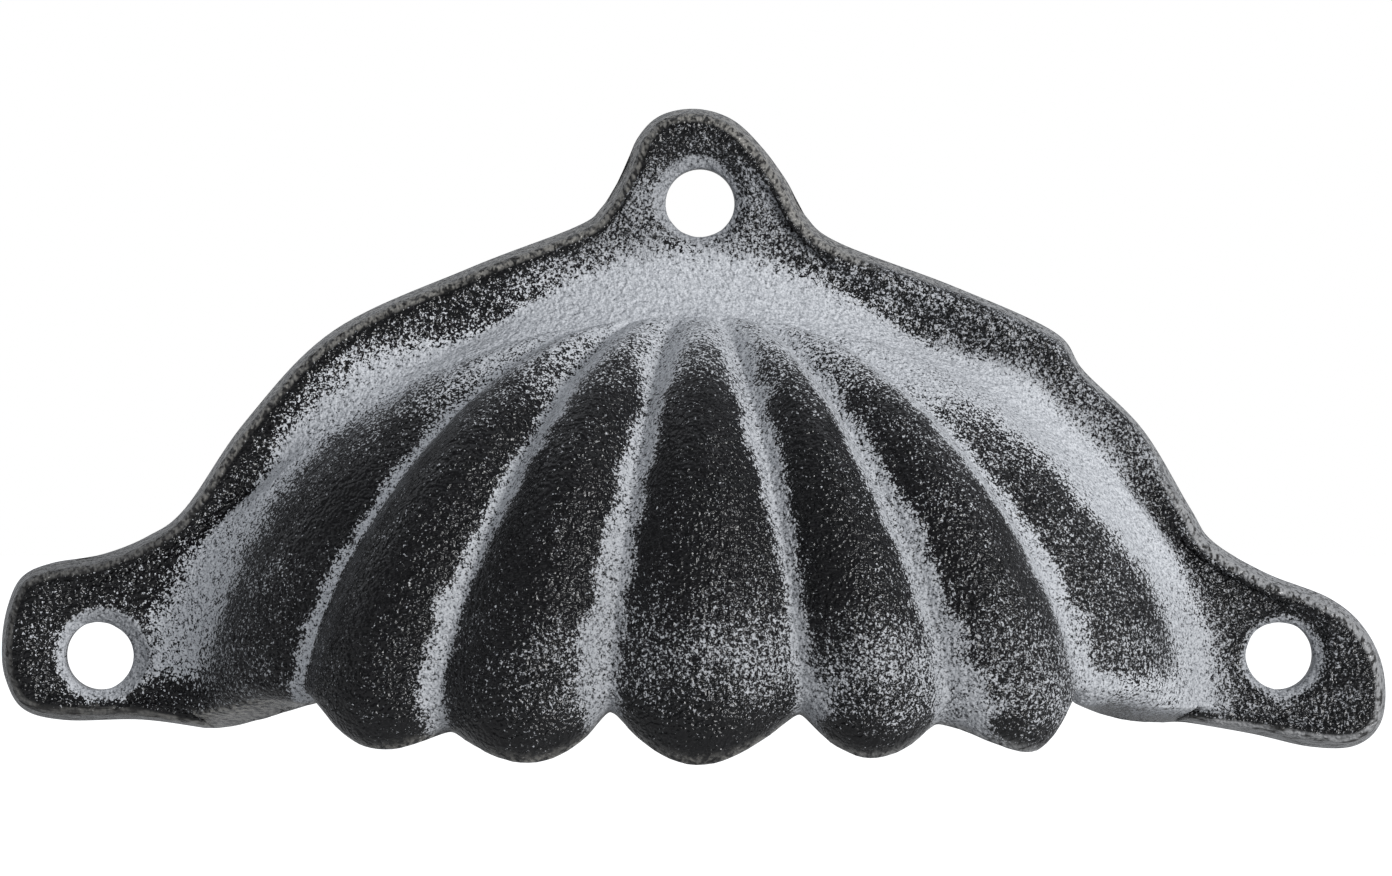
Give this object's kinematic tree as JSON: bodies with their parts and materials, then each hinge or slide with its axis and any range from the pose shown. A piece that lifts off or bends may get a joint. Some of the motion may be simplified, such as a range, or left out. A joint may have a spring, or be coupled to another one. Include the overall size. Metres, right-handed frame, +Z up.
{
  "type": "cup pull handle",
  "caption": "Scallop-shell cup pull for drawers and cabinet doors: a cast iron fluted cup, open below and behind, on an arched flange with three screw ears.",
  "frame": {"origin": "midway between the two lower screw holes, on the flat back face", "axes": "+X to the right seen from the front, +Y out of the back face into the furniture, +Z up towards the top screw ear"},
  "size_m": [0.1047, 0.023, 0.0484],
  "materials": {
    "casting": "rough black cast iron with pale grey wash left in its hollows"
  },
  "bodies": {
    "root": {"cup_pull": "casting"}
  },
  "joints": []
}
